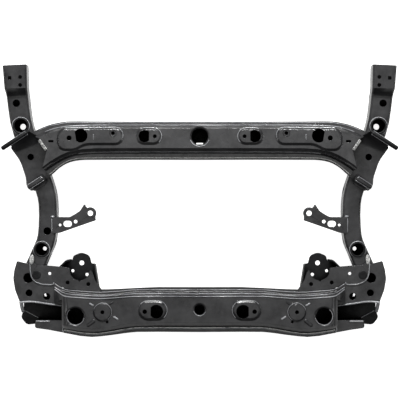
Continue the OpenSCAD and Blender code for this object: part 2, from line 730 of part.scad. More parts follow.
// arms with an eye for the differential, edges turned down
function bent(l) = [for (i = [0 : len(l) - 1])
    each (i == 0 || i == len(l) - 1) ? [xy(l[i])] : turn(xy(l[i - 1]), xy(l[i]), xy(l[i + 1]), l[i][2])];
function beside(l, w) = [for (i = [0 : len(l) - 1]) let (
        d = l[min(i + 1, len(l) - 1)] - l[max(i - 1, 0)])
    l[i] + w * [d[1], -d[0]] / norm(d)];
diff_front = bent([[25, -45, 0], [59, -45, 14], [72, -38, 14], [86, -29, 14], [97.5, -12, 0]]);
diff_rear = bent([[128, -54, 0], [33, -87, 16], [25, -87.5, 0]]);
diff_eye = [114, -35];
module diff_bracket() {
    z = rail_h;
    eye_edge = [for (a = [120 : -15 : -30]) diff_eye + 16 * ray(a)];
    difference() {
        union() {
            translate([0, 0, z])
                linear_extrude(plate_t)
                    polygon(concat([[13, -88], [13, -46], [15, -45]], diff_front, eye_edge,
                        diff_rear));
            for (e = [diff_front, diff_rear])
                translate([0, 0, z - 18])
                    linear_extrude(18 + plate_t)
                        polygon(concat(e, flip(beside(e, plate_t))));
        }
        bore(diff_eye, diff_eye_r, z - 1, z + plate_t + 1);
        bore([34, -66], 3.5, z - 1, z + plate_t + 1);
        bore([75, -57], 4.7, z - 1, z + plate_t + 1);
        slot([54, -63], 22, 16, 7.8, z - 1, z + plate_t + 1);
    }
}
module left_diff_bracket() {
    left()
        diff_bracket();
}
module right_diff_bracket() {
    right()
        diff_bracket();
}

// eared brackets under the gussets: floor with a round nose, two walls up to the gusset
module rear_ear() {
    z1 = ear_z;
    z2 = rail_h + plate_t;
    t = bracket_t;
    difference() {
        union() {
            slab([[27, -180, 2], [49, -159, 6], [59, -158, 6], [63, -161, 4], [65, -149, 14],
                [87, -139.5, 22], [109, -148, 16], [114, -169, 4], [126, -170, 5], [133, -214, 8],
                [137, -243, 2], [51, -243, 4]], z1, z1 + t);
            slab([[27, -180, 2], [49, -159, 6], [59, -158, 2], [59, -162, 1], [51, -163, 3],
                [30, -183, 1]], z1, z2);
            slab([[122, -170, 1], [126, -170, 2], [133, -214, 2], [134.5, -224, 1], [130.5, -224, 1],
                [129, -214, 2]], z1, z2);
        }
        bore([88, -168], ear_eye_r, z1 - 1, z1 + t + 1);
        bore([64, -189], 4, z1 - 1, z1 + t + 1);
        bore([102, -199], 4.5, z1 - 1, z1 + t + 1);
    }
}
module left_rear_ear() {
    left()
        rear_ear();
}
module right_rear_ear() {
    right()
        rear_ear();
}

// weld nuts
module nut(flat, h, r) {
    difference() {
        cylinder(h = h, d = flat / cos(30), $fn = 6);
        translate([0, 0, -1])
            cylinder(h = h + 2, r = r);
    }
}
module link_bolt_nuts() {
    placed()
        both()
            side()
                translate([link_bolt[0], link_front_y, link_bolt[1]])
                    rotate([-90, 0, 0])
                        nut(nut_flat, nut_h, thread_r);
}

front_beam_upper();
front_beam_lower();
rear_beam_upper();
rear_beam_lower();
left_rail_upper();
right_rail_upper();
left_rail_lower();
right_rail_lower();
left_front_collar();
right_front_collar();
left_rear_collar();
right_rear_collar();
left_arm_plate_outer();
right_arm_plate_outer();
left_arm_plate_inner();
right_arm_plate_inner();
left_corner_plate();
right_corner_plate();
left_gusset();
right_gusset();
left_link_bracket();
right_link_bracket();
left_diff_bracket();
right_diff_bracket();
left_rear_ear();
right_rear_ear();
link_bolt_nuts();
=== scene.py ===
"""Looks of a welded suspension subframe: coat, weld beads, hems, pocket roots, pressed ribs and studio."""

import math

import bmesh
import bpy
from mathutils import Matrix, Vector, noise


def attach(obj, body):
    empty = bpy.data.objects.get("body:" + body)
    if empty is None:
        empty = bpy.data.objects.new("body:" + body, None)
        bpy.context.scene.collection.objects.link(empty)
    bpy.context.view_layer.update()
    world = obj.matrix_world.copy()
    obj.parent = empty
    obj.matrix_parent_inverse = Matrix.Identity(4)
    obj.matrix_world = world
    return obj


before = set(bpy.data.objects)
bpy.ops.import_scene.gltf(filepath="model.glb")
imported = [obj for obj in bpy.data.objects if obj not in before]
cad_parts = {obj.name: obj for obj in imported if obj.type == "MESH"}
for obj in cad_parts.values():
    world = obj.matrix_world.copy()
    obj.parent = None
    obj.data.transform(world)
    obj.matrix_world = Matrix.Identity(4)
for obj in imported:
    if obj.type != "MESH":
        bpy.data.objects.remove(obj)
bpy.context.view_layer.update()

bl_info = {
    "name": "Subframe looks",
    "version": (1, 0, 0),
    "blender": (4, 5, 0),
    "location": "View3D > Sidebar > Subframe",
    "description": "Coats the packed subframe and adds weld beads, hems, pressed ribs and a studio",
    "category": "Object",
}

MM = 0.001
BODY = "root"
SHIFT_Y = 3.5       # the drawing's origin lies this far in front of the part's own
SIDES = (-1, 1)     # left, right
SHADE_PAINTED = ("link_bracket", "arm_plate_outer", "rear_ear", "collar")    # nodes coloured nearly black as painted shade
SHEEN_NODE = "front_beam_upper"      # node whose coat gets more shine, a painted sheen that brightens it
PRESSED = ("beam", "rail")      # nodes with drawn radii; the others are cut plate, bar and turned steel
TABBED = "link_bracket"         # painted-shade nodes whose faces over the rails' tops have the rails' coat

# Edges and centre lines in mm: distance from the middle, then Y (rails: Y, then X or width).
FRONT_EDGE_U = [(0, 207), (260, 207.5), (345, 208), (370, 205), (396, 199), (422, 189), (450, 174.5)]
FRONT_EDGE_L = [(0, 106), (300, 106), (330, 103), (350, 97), (370, 85), (390, 68), (410, 50), (450, 14)]
FRONT_CROWN_U = [(0, 193.9), (260, 193.9), (345, 191.1), (370, 187.4), (385, 183.2), (396, 179.5),
                 (405, 175.9)]
FRONT_WALL_L = [(0, 126.8), (200, 126.6), (260, 125.8), (300, 124.3), (320, 121.7)]
REAR_EDGE_U = [(0, -237), (169, -237), (208, -240), (263, -243), (316, -240), (352, -236.5),
               (366, -231), (384, -219.5)]
REAR_EDGE_L = [(0, -339), (160, -338.5), (194, -342), (233, -349), (272, -354), (312, -352),
               (359, -344), (384, -340)]
RAIL_LINE = [(-262, -452), (-237, -453), (-212, -450), (-172, -435), (-132, -418), (-106, -407.5),
             (-66, -403), (-13, -403), (26, -409.5), (100, -437), (172, -464), (211, -475),
             (278, -483.5), (294, -484), (355, -487)]
RAIL_WIDTH = [(-262, 54), (-212, 53), (-172, 50), (-132, 48.5), (-66, 48), (-13, 48), (26, 50),
              (100, 53), (211, 56), (278, 57), (294, 60), (355, 64)]
RAIL_RUN = (-259, 352)      # first and last Y of the rails' seams
RAIL_STOPS = 150
RAIL_LAP = 1.4              # how far the seam lies inside the rail's width
ARM_STEP = (276, 20)        # Y where the arm starts to rise, and the length of the rise

# Top of the rear crossmember: distance from the middle, then Z.
REAR_CREST = [(0, 100), (320, 100), (345, 99.4), (352, 97), (360, 89.6), (366, 82.8), (372, 76.8),
              (378, 72.9), (383, 69.6)]
REAR_SEAM_REACH = 358

# Heights in mm.
RAIL_TOP = 60.0
RAIL_SEAM = 21.8
ARM_RISE = 20.0
FLOOR_TOP = 62.5
REAR_FLANGE_TOP = 63.0
REAR_SEAM = 63.4
REAR_LAP = 65.5
GUSSET_TOP = 66.0
FRONT_TOP = 105.0
FRONT_PAD_TOP = 110.0
REAR_TOP = 100.0

# Left side, in mm: direction of the arm plates and their outer corners, edge of the gusset.
PLATE_RUN = (0.8387, 0.5446)
ARM_OUTER = (-515, 134)
ARM_INNER = (-449, 36)
GUSSET_EDGE = [(-447, -143), (-448.5, -172), (-445, -208), (-424, -222), (-387, -224), (-384.6, -217.5)]
GUSSET_HEM = GUSSET_TOP - 0.6

# Weld runs on the left: points, Z, size beside the common bead.
GUSSET_WELD = (GUSSET_EDGE, REAR_FLANGE_TOP + 0.2, 0.9)
DIFF_SEAM = ([(-390, -87), (-390, -67), (-390, -47)], RAIL_TOP + 0.3, 1.0)
DIFF_TACK = ([(-394, -43.5), (-384, -43.5)], RAIL_TOP + 1, 1.2)
TRAY_END = ([(-360, -318), (-360, -334), (-360, -350)], REAR_FLANGE_TOP + 0.2, 1.0)

# Welds round the sleeves: centre and radius of each, then their Z and their size beside the common bead.
SLEEVES = [((-473.04, 196), 22.5), ((-418.08, -131), 21)]
SLEEVE_LINE = RAIL_TOP + 0.2
SLEEVE_BEAD = 0.65
RAIL_BEAD = 0.8

# Form of a bead, as shares of its own width, height or pitch, and noise steps per metre.
BEAD_SIDES = 7
RIPPLE_STEPS = 4            # points along one ripple
BEAD_WANDER = 0.12          # sideways, over the width
WANDER_RATE = 55
BEAD_SWELL = 0.16           # change of the width
SWELL_RATE = 90
BEAD_TAPER = 1.1            # length of a tapered end, over the width
BEAD_TIP = 0.02             # square of the size that is left at the tip
BEAD_LAG = 0.42             # how far a ripple's ends curve back, over the pitch
BEAD_RIPPLE = 0.22          # height of a ripple over the crown
BEAD_SINK = 0.15            # how deep the foot sits in the sheet, over the height

# Ribs: start X, Y, end X, Y, foot Z, width, height.
RIBS = [(-294, -329, -272, -312, REAR_TOP, 10, 2.2), (-236, -273, -225, -265, REAR_TOP, 5, 1.8)]
# Ribs coloured lighter as painted highlight, in the same columns:
HIGHLIGHT_RIBS = [(-288, -269, -276, -276, REAR_TOP, 5, 1.8), (-225, -303, -212, -312, REAR_TOP, 5, 1.8)]
DRAW_MARK = ([(-276, 171), (-276, 156)], FRONT_PAD_TOP, 0.9)      # points, Z, radius

# Draw lines that the press leaves on rims, coloured lighter as painted highlight: centre X, Y, radius,
# first and last angle; then Z, line radius.
RIMS = [([(-340, 168, 19.2, 110, 90), (-219.5, 168.5, 20.2, 90, -20)], 106.0, 0.9),
        ([(-144, 166, 21.2, 120, 90), (-120, 166, 21.2, 90, -50)], 106.0, 0.9),
        ([(-134.5, -287.5, 25.2, 140, 90), (-110, -287.5, 25.2, 90, -50)], 101.0, 0.9),
        ([(-253, -292, 23.4, 170, -60)], 101.0, 0.8), ([(-324, -303.5, 22.8, -10, -230)], 97.6, 0.9)]
MIDDLE_RIMS = [([(0, 165, 25.5, -20, -160)], 104.2, 1.2), ([(0, -286.5, 15.5, -20, -160)], 98.6, 0.9)]
HOLE_RING = (-225, 174, FRONT_PAD_TOP, 8.5, 3, 1.0)     # X, Y, Z, radius, width, height
RING_STEPS = 48
RIB_STEP = 1.0
RIB_TAPER = 0.6             # length of a rib's rounded end, over its width
RIB_TIP = 0.03              # square of the size that is left at its tip
RIB_SINK = 0.15

# Turned-down lip of the open end: its line, reach, drop and dents, and the sheet's thickness.
END_LIP = [(-415, 158.5), (-397, 132.5)]
LIP_REACH = 8.0
LIP_DROP = 8.0
LIP_DENT = 1.5
DENT_RATE = (420, 9)        # noise steps per metre of the line, and over the reach
LIP_STEPS = 6
LIP_STOP = 1.5              # distance between points along the line
LIP_TOP = FRONT_TOP - 0.05
SHEET = 2.5
EDGE_FLOW = 0.9      # radius that the coat leaves on sheared edges

# Rubbed tab of the gusset: points, width, height and ripples.
GUSSET_TAB = [(-442.5, -144), (-443.5, -156), (-443.5, -170)]
TAB_WIDTH = 11.0
TAB_HEIGHT = 2.4
TAB_PITCH = 1.5             # distance between its ripples beside the common one

# Hems and lap edges: edge, half length, shift in Y, Z; and their height over their radius.
FRONT_HEMS = [(FRONT_EDGE_U, 425, -4, 64.6), (FRONT_CROWN_U, 403, 0.9, 97.4),
              (FRONT_WALL_L, 318, -0.4, 84.0)]
REAR_HEMS = [(REAR_EDGE_U, 383, -0.6, 65.1), (REAR_EDGE_U, 382, -9.2, lambda d: rear_height(d, 0.54)),
             (REAR_EDGE_U, 382, -14.6, lambda d: rear_height(d, 0.925))]
# These hems are in worn steel lightened as painted highlight.
WORN_AND_HIGHLIGHT_HEMS = [(FRONT_EDGE_L, 397, 5.2, 65.2), (REAR_EDGE_L, REAR_SEAM_REACH, 1.6, 65.7)]
ROUND_CROWN = 1.3
RUBBED_CROWN = 0.45
HEM_SINK = 0.3              # how deep a hem sits in the sheet, over its radius
HEM_STEP = 2.0              # distance between points along a short hem

# Arm pockets. Roots: plate, side that they face, then at both ends: distance along the plate at the
# plate and at the foot, reach, height. Rolls: first and last distance along, distance across, Z, radius.
PLATE_ROOTS = {"front": (ARM_OUTER, -1, ((21, 21, 36, 26), (84, 110, 62, 38))),
               "rear": (ARM_INNER, 1, ((1, 1, 15, 15), (46, 46, 15, 15)))}
PLATE_ROLLS = {"front": (-0.5, 79, -1.0, 105.5, 5.5), "rear": (-0.5, 48, -5.0, 104.0, 8.0)}

# Edges of the rolls: plate, distance across, first and last distance along; and their rise over the axis.
ROLL_EDGES = (("front", -6.2, 2, 79), ("front", 4.2, 2, 79),
              ("rear", 1.2, 3, 47), ("rear", -11.2, 3, 47))
EDGE_RISE = {"front": 1.2, "rear": 4.6}
ROLL_EDGE = 0.9             # radius of those edges
EDGE_STOP = 3               # distance between their points
ROLL_SIDES = 20
ROLL_ENDS = ((0.0, 0.55), (0.35, 0.9), (0.8, 1.0))      # distance from the end over the radius, size there
ROOT_STEPS = 16
ROOT_SINK = 0.5             # how far a root's foot lies under the floor's face
ROOT_HEEL = -0.1            # lowest point of a root at its plate, over its height
ROOT_SLOPE = 0.45           # share of a root's height in its gentle slope; the rest curls up at the plate
ROOT_POWERS = (2, 5)        # of the slope and the curl
GUSSET_DISC = (-430.5, -198, 11.5)     # X, Y, radius
DISC_STEPS = 40
DISC_PROFILE = ((1.0, -0.4), (1.0, 0.3), (0.9, 0.7), (0.5, 0.5))    # share of the radius, rise

# Bent outer lip of the link pocket: points, Z, half width, distance between points.
LINK_LIP = ([(-481.5, -274.5), (-479.5, -288), (-475, -302)], 8.0, 4.5, 3)

# Edges of the link pocket: points, Z, radius.
LINK_HEMS = [([(-363, -279), (-400, -275), (-444, -267.5), (-474, -270.5)], 62.8, 2.6),
             ([(-432, -320.5), (-396, -320.5)], 63.0, 2.4),
             ([(-470, -298), (-455, -306), (-434, -317)], 10.0, 1.6)]
ARC_STEPS = 24

# Where the noise of each group of beads starts, so that no two runs ripple alike.
SEEDS = {"rear": 4.5, "rail": 7.5, "bracket": 11.5, "sleeve": 31.5, "tab": 41.5}

# Sizes of the finish's patterns in mm.
MOTTLE_SIZE = 45.0
FILM_SIZE = 12.0
WAVE_SIZE = 60.0
PEEL_SIZE = 3.0
GRAIN_SIZE = 1.6
WEAR_SIZE = 4.0
SHEET_GRAIN = 8.0           # of the floor
PAINTED_SHADE_REACH = 150.0         # how far round a face the occlusion for the painted shade reaches

# How the coats differ: roughness added in pockets, peel on edges, and shine left on walls beside the
# common, the walls' cut shine being painted shade.
POCKET_DULLNESS = 0.25
EDGE_PEEL = 1.6
WALL_SHINE = 0.16

# Angles in degrees over which a pressed crease is kept and a sheared edge is rounded or kept.
CREASE = 38
SHEARED = 40
EDGE_STEPS = 2
FACET_GAP = 0.01            # mm between corners that are joined
FACE_WEIGHT = 60            # over 50, wide faces count for more in the shading

# Studio, in metres: half the floor's side, how far it lies under the part, the point that the lights face.
FLOOR_HALF = 20.0
FLOOR_DROP = 0.8 * MM
LIT_POINT = Vector((0, 0, 0.05))

# Lights: name, setting with the power, place, width, depth.
LAMPS = (("strip", "strip", (0.0, 2.2, 1.55), 2.4, 0.12),
         ("top", "top", (0.0, 0.0, 3.6), 3.0, 3.0),
         ("left_strip", "sides", (-2.2, 0.0, 1.4), 2.0, 0.15),
         ("right_strip", "sides", (2.2, 0.0, 1.4), 2.0, 0.15))

# Camera: X, sensor and lens in mm, then the farthest distance that it draws in metres.
CAMERA_X = 0.8
SENSOR = 36.0
LENS = 90.0
SIGHT = 50.0


def linear(code):
    """Linear RGBA of an sRGB hex colour."""
    parts = [int(code[i:i + 2], 16) / 255 for i in (1, 3, 5)]
    return tuple(c / 12.92 if c <= 0.04045 else ((c + 0.055) / 1.055) ** 2.4 for c in parts) + (1.0,)


def curve(points, x):
    """Smooth value between the points of a list, as the pressings are drawn."""
    def slope(k):
        a, b = points[max(k - 1, 0)], points[min(k + 1, len(points) - 1)]
        return (b[1] - a[1]) / (b[0] - a[0])
    k = 0
    while k < len(points) - 2 and x > points[k + 1][0]:
        k += 1
    (x0, y0), (x1, y1) = points[k], points[k + 1]
    w = x1 - x0
    t = (x - x0) / w
    a = t * t * (3 - 2 * t)
    return (y0 * (1 - a) + y1 * a
            + w * (slope(k) * t * (1 - t) ** 2 - slope(k + 1) * t * t * (1 - t)))


def ease(t):
    """Smooth step from 0 to 1."""
    t = min(max(t, 0.0), 1.0)
    return t * t * (3 - 2 * t)


def arm_lift(y):
    """How far the rail's front arm stands over the rail."""
    start, run = ARM_STEP
    return ARM_RISE * ease((y - start) / run)


def placed(x, y, z):
    """A point of the drawing in the part's frame, in metres."""
    return Vector((x, y + SHIFT_Y, z)) * MM


def mirrored(path, side):
    """A path drawn on the left, on the side asked for."""
    return [Vector((-side * p.x, p.y, p.z)) for p in path]


def resample(path, step):
    """The same path with points a step apart."""
    runs = [0.0]
    for a, b in zip(path, path[1:]):
        runs.append(runs[-1] + (b - a).length)
    count = max(int(round(runs[-1] / step)), 4)
    out, k = [], 0
    for i in range(count + 1):
        s = runs[-1] * i / count
        while k < len(path) - 2 and s > runs[k + 1]:
            k += 1
        t = (s - runs[k]) / max(runs[k + 1] - runs[k], 1e-12)
        out.append(path[k].lerp(path[k + 1], t))
    return out, runs[-1]


def soft_corners(path, rounds=2):
    """Cuts the corners of a path so that a bead turns smoothly."""
    for _ in range(rounds):
        out = [path[0]]
        for a, b in zip(path, path[1:]):
            out += [a.lerp(b, 0.25), a.lerp(b, 0.75)]
        path = out + [path[-1]]
    return path


def make_piece(name, verts, faces, material):
    """A closed mesh that rides on the part, with its faces turned outwards."""
    mesh = bpy.data.meshes.new(name)
    mesh.from_pydata(verts, [], faces)
    bm = bmesh.new()
    bm.from_mesh(mesh)
    bmesh.ops.recalc_face_normals(bm, faces=bm.faces)
    for f in bm.faces:
        f.smooth = True
    bm.to_mesh(mesh)
    bm.free()
    mesh.materials.append(material)
    piece = bpy.data.objects.new(name, mesh)
    bpy.context.scene.collection.objects.link(piece)
    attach(piece, BODY)
    return piece


def add_sweep(verts, faces, path, normal, section, closed=False):
    """Sweeps rings of section(s, length) points (across, out) along a path; out leans to normal."""
    first = len(verts)
    n = len(path)
    total = sum((b - a).length for a, b in zip(path, path[1:]))
    s = 0.0
    for i, p in enumerate(path):
        if closed:
            t = path[(i + 1) % n] - path[i - 1]
        else:
            t = path[min(i + 1, n - 1)] - path[max(i - 1, 0)]
        t.normalize()
        lean = normal(p, t)
        out = (lean - t * lean.dot(t)).normalized()
        side = t.cross(out)
        if i:
            s += (p - path[i - 1]).length
        ring = section(s, total)
        verts += [p + side * a + out * h for a, h in ring]
    m = len(ring)
    for i in range(n if closed else n - 1):
        a, b = first + i * m, first + ((i + 1) % n) * m
        faces += [(a + j, a + (j + 1) % m, b + (j + 1) % m, b + j) for j in range(m)]
    if not closed:
        faces.append(tuple(range(first, first + m)))
        faces.append(tuple(range(first + (n - 1) * m, first + n * m)))


def add_bead(verts, faces, path, normal, width, height, pitch, seed, closed=False):
    """One weld run: a low crown with crescent ripples, a wandering width and tapered ends."""
    if closed:
        path, total = resample(path + [path[0]], pitch / RIPPLE_STEPS)
        path = path[:-1]
    else:
        path, total = resample(soft_corners(path), pitch / RIPPLE_STEPS)
    crown = [math.pi * k / BEAD_SIDES for k in range(BEAD_SIDES + 1)]

    def section(s, length):
        sway = BEAD_WANDER * width * noise.noise(Vector((s * WANDER_RATE, seed, 0.3)))
        swell = 1 + BEAD_SWELL * noise.noise(Vector((s * SWELL_RATE, seed, 4.1)))
        end = 1.0
        if not closed:
            near = min(s, total - s) / (BEAD_TAPER * width)
            end = math.sqrt(max(1 - (1 - min(near, 1)) ** 2, BEAD_TIP))
        w, h = width / 2 * swell * end, height * end
        ring = []
        for a in crown:
            step = (s / pitch + BEAD_LAG * math.cos(a) ** 2) % 1.0
            scale = 1 + BEAD_RIPPLE * (1 - step) ** 1.5
            ring.append((w * math.cos(a) + sway, h * scale * math.sin(a) - BEAD_SINK * height))
        return ring
    add_sweep(verts, faces, path, normal, section, closed)


def lean_to(x, y, z):
    """Direction that a bead's crown faces, the same along the whole run."""
    v = Vector((x, y, z)).normalized()
    return lambda p, t: v


def lean_across(up, side=1.0):
    """Crown facing between up and one side of the run's own direction."""
    def lean(p, t):
        return Vector((t.y, -t.x, 0)).normalized() * side + Vector((0, 0, up))
    return lean


# Materials

def add_node(tree, kind, links=(), values=(), **settings):
    """Adds one node, with its settings, its constant inputs and its links."""
    made = tree.nodes.new(kind)
    for key, value in settings.items():
        setattr(made, key, value)
    for key, value in dict(values).items():
        made.inputs[key].default_value = value
    for key, socket in dict(links).items():
        tree.links.new(socket, made.inputs[key])
    return made


def bare_material(name):
    """A new material with an empty node tree."""
    mat = bpy.data.materials.new(name)
    mat.use_nodes = True
    mat.node_tree.nodes.clear()
    return mat


def coat_material(name, dark, light, rough_low, rough_high, peel, gloss=0.5):
    """Electro-dipped black coat on steel: a thin even film that keeps a satin shine, mottles a
    little where the dip ran off, has the faint orange peel of baking, and painted shade in corners and on
    walls."""
    found = bpy.data.materials.get(name)
    if found:
        return found
    mat = bare_material(name)
    tree = mat.node_tree
    place = add_node(tree, "ShaderNodeTexCoord").outputs["Object"]
    # Mottle from draining.
    mottle = add_node(tree, "ShaderNodeTexNoise", {"Vector": place},
                      {"Scale": 1 / (MOTTLE_SIZE * MM), "Detail": 4.0, "Roughness": 0.55})
    shade = add_node(tree, "ShaderNodeValToRGB", {"Fac": mottle.outputs["Fac"]})
    shade.color_ramp.elements[0].position = 0.32
    shade.color_ramp.elements[0].color = linear(dark)
    shade.color_ramp.elements[1].position = 0.7
    shade.color_ramp.elements[1].color = linear(light)
    # Fine grain of the film, drawn coarser than the real one so that it shows.
    grain = add_node(tree, "ShaderNodeTexNoise", {"Vector": place},
                     {"Scale": 1 / (GRAIN_SIZE * MM), "Detail": 3.0, "Roughness": 0.6})
    # Handling film: patches that change the shine.
    film = add_node(tree, "ShaderNodeTexNoise", {"Vector": place},
                    {"Scale": 1 / (FILM_SIZE * MM), "Detail": 5.0, "Roughness": 0.62})
    shine = add_node(tree, "ShaderNodeMapRange", {"Value": film.outputs["Fac"]},
                     {"From Min": 0.3, "From Max": 0.7, "To Min": rough_low, "To Max": rough_high})
    # Sheet waviness from the press, under the orange peel.
    wave = add_node(tree, "ShaderNodeTexNoise", {"Vector": place},
                    {"Scale": 1 / (WAVE_SIZE * MM), "Detail": 1.0})
    # The film flows off sheared edges and rounds them to about the edge radius.
    flow = add_node(tree, "ShaderNodeBevel", (), {"Radius": EDGE_FLOW * MM}, samples=4)
    wavy = add_node(tree, "ShaderNodeBump",
                    {"Height": wave.outputs["Fac"], "Normal": flow.outputs["Normal"]},
                    {"Strength": 0.5, "Distance": 0.8 * MM})
    skin = add_node(tree, "ShaderNodeTexNoise", {"Vector": place},
                    {"Scale": 1 / (PEEL_SIZE * MM), "Detail": 2.0, "Roughness": 0.5})
    peeled = add_node(tree, "ShaderNodeBump",
                      {"Height": skin.outputs["Fac"], "Normal": wavy.outputs["Normal"]},
                      {"Strength": peel, "Distance": 0.12 * MM})
    fine = add_node(tree, "ShaderNodeBump",
                    {"Height": grain.outputs["Fac"], "Normal": peeled.outputs["Normal"]},
                    {"Strength": peel * 0.5, "Distance": 0.05 * MM})
    # Inside the box sections and deep corners the colour is turned near black and the shine cut, a painted
    # shade drawn from occlusion; open faces keep the coat's colour.
    shade_occlusion = add_node(tree, "ShaderNodeAmbientOcclusion", (), {"Distance": PAINTED_SHADE_REACH * MM}, samples=8)
    painted_shade_fac = add_node(tree, "ShaderNodeMapRange", {"Value": shade_occlusion.outputs["AO"]},
                     {"From Min": 0.25, "From Max": 0.5, "To Min": 0.0, "To Max": 1.0})
    colour = add_node(tree, "ShaderNodeMixRGB",
                      {"Fac": painted_shade_fac.outputs["Result"], "Color2": shade.outputs["Color"]},
                      {"Color1": linear("#060606")})
    # Upright walls and slopes keep less shine than the tops: a painted shade set by which way each face
    # points.
    surface = add_node(tree, "ShaderNodeNewGeometry")
    facing = add_node(tree, "ShaderNodeSeparateXYZ", {"Vector": surface.outputs["Normal"]})
    lying = add_node(tree, "ShaderNodeMath", {0: facing.outputs["Z"]}, operation="ABSOLUTE")
    painted_wall_shade = add_node(tree, "ShaderNodeMapRange", {"Value": lying.outputs["Value"]},
                       {"From Min": 0.5, "From Max": 0.95, "To Min": WALL_SHINE * gloss, "To Max": gloss})
    touched = add_node(tree, "ShaderNodeMapRange", {"Value": film.outputs["Fac"]},
                       {"From Min": 0.3, "From Max": 0.7, "To Min": 1.22, "To Max": 0.78})
    even = add_node(tree, "ShaderNodeMath", {0: painted_shade_fac.outputs["Result"], 1: painted_wall_shade.outputs["Result"]},
                    operation="MULTIPLY")
    shiny = add_node(tree, "ShaderNodeMath", {0: even.outputs["Value"], 1: touched.outputs["Result"]},
                     operation="MULTIPLY")
    shader = add_node(tree, "ShaderNodeBsdfPrincipled",
                      {"Base Color": colour.outputs["Color"], "Roughness": shine.outputs["Result"],
                       "Specular IOR Level": shiny.outputs["Value"], "Normal": fine.outputs["Normal"]},
                      {"IOR": 1.52})
    add_node(tree, "ShaderNodeOutputMaterial", {"Surface": shader.outputs["BSDF"]})
    return mat


def steel_coat():
    """The film on the rails, the rear crossmember and the plates."""
    coat = bpy.context.scene.subframe_coat
    return coat_material("electro_dip_black_on_pressed_steel", coat.dark, coat.light,
                         coat.rough_low, coat.rough_high, coat.peel, gloss=0.43)


def sheen_front_coat():
    """The same film with more shine, a painted sheen, on the front crossmember."""
    coat = bpy.context.scene.subframe_coat
    return coat_material("electro_dip_black_fresh", coat.dark, coat.light,
                         coat.rough_low, coat.rough_high, coat.peel, gloss=0.7)


def painted_shade_coat():
    """The same film made nearly black with hardly any shine, as painted shade, in pockets and on brackets.
    """
    coat = bpy.context.scene.subframe_coat
    return coat_material("electro_dip_black_in_pockets", "#0b0b0c", "#141516",
                         coat.rough_low + POCKET_DULLNESS, coat.rough_high + POCKET_DULLNESS,
                         coat.peel, gloss=0.2)


def highlight_coat():
    """The same film made greyer and shinier, a painted highlight, on edges, hems, draw lines and weld
    metal.
    """
    coat = bpy.context.scene.subframe_coat
    return coat_material("electro_dip_thin_on_edges", "#5e5f62", "#9a9b9d",
                         coat.rough_low, coat.rough_high, coat.peel * EDGE_PEEL)


def worn_and_highlight_steel(name="worn_coat_over_steel", coated=0.38, bare_from=0.57):
    """Steel that shows through the coat on turned and welded edges: bright specks in grey, worn steel and
    painted highlight in one.
    """
    found = bpy.data.materials.get(name)
    if found:
        return found
    mat = bare_material(name)
    tree = mat.node_tree
    place = add_node(tree, "ShaderNodeTexCoord").outputs["Object"]
    wear = add_node(tree, "ShaderNodeTexNoise", {"Vector": place},
                    {"Scale": 1 / (WEAR_SIZE * MM), "Detail": 4.0, "Roughness": 0.6})
    bare = add_node(tree, "ShaderNodeValToRGB", {"Fac": wear.outputs["Fac"]})
    bare.color_ramp.elements[0].position = coated
    bare.color_ramp.elements[0].color = linear("#4c4d4f")
    bare.color_ramp.elements[1].position = bare_from
    bare.color_ramp.elements[1].color = linear("#dcdcd9")
    metal = add_node(tree, "ShaderNodeMapRange", {"Value": wear.outputs["Fac"]},
                     {"From Min": coated, "From Max": bare_from, "To Min": 0.0, "To Max": 0.6})
    shader = add_node(tree, "ShaderNodeBsdfPrincipled",
                      {"Base Color": bare.outputs["Color"], "Metallic": metal.outputs["Result"]},
                      {"Roughness": 0.38})
    add_node(tree, "ShaderNodeOutputMaterial", {"Surface": shader.outputs["BSDF"]})
    return mat


def rubbed_and_highlight_steel():
    """Steel of the flange edges, rubbed bare nearly all along by handling and lightened as painted
    highlight: a bright broken line.
    """
    return worn_and_highlight_steel("rubbed_steel_edge", 0.2, 0.46)


def floor_sheet(stage):
    """Matt white acrylic sheet, lit a little from below, so the part stands on near white."""
    mat = bare_material("matt_white_acrylic")
    tree = mat.node_tree
    place = add_node(tree, "ShaderNodeTexCoord").outputs["Object"]
    grain = add_node(tree, "ShaderNodeTexNoise", {"Vector": place},
                     {"Scale": 1 / (SHEET_GRAIN * MM), "Detail": 2.0})
    bump = add_node(tree, "ShaderNodeBump", {"Height": grain.outputs["Fac"]},
                    {"Strength": 0.05, "Distance": 0.1 * MM})
    shader = add_node(tree, "ShaderNodeBsdfPrincipled", {"Normal": bump.outputs["Normal"]},
                      {"Base Color": linear(stage.floor), "Roughness": 0.75, "IOR": 1.49,
                       "Emission Color": linear("#ffffff"), "Emission Strength": stage.glow})
    add_node(tree, "ShaderNodeOutputMaterial", {"Surface": shader.outputs["BSDF"]})
    return mat


# Settings that a user would change

class SubframeCoat(bpy.types.PropertyGroup):
    """Finish of the steel"""
    dark: bpy.props.StringProperty(name="Dark patches",
                                   description="sRGB hex colour where the coat is thick",
                                   default="#1a1a1b")
    light: bpy.props.StringProperty(name="Light patches",
                                    description="sRGB hex colour where the coat is thin",
                                    default="#2f2f30")
    rough_low: bpy.props.FloatProperty(name="Least roughness",
                                       description="Roughness of the shiniest patches",
                                       default=0.16, min=0.05, max=1.0, subtype="FACTOR")
    rough_high: bpy.props.FloatProperty(name="Most roughness",
                                        description="Roughness of the dullest patches",
                                        default=0.26, min=0.05, max=1.0, subtype="FACTOR")
    peel: bpy.props.FloatProperty(name="Orange peel", description="Strength of the film's fine unevenness",
                                  default=0.22, min=0.0, max=1.0, subtype="FACTOR")
    edge: bpy.props.FloatProperty(name="Edge radius", description="Radius of the cut pieces' edges",
                                  default=0.7 * MM, min=0.1 * MM, max=2 * MM, unit="LENGTH")


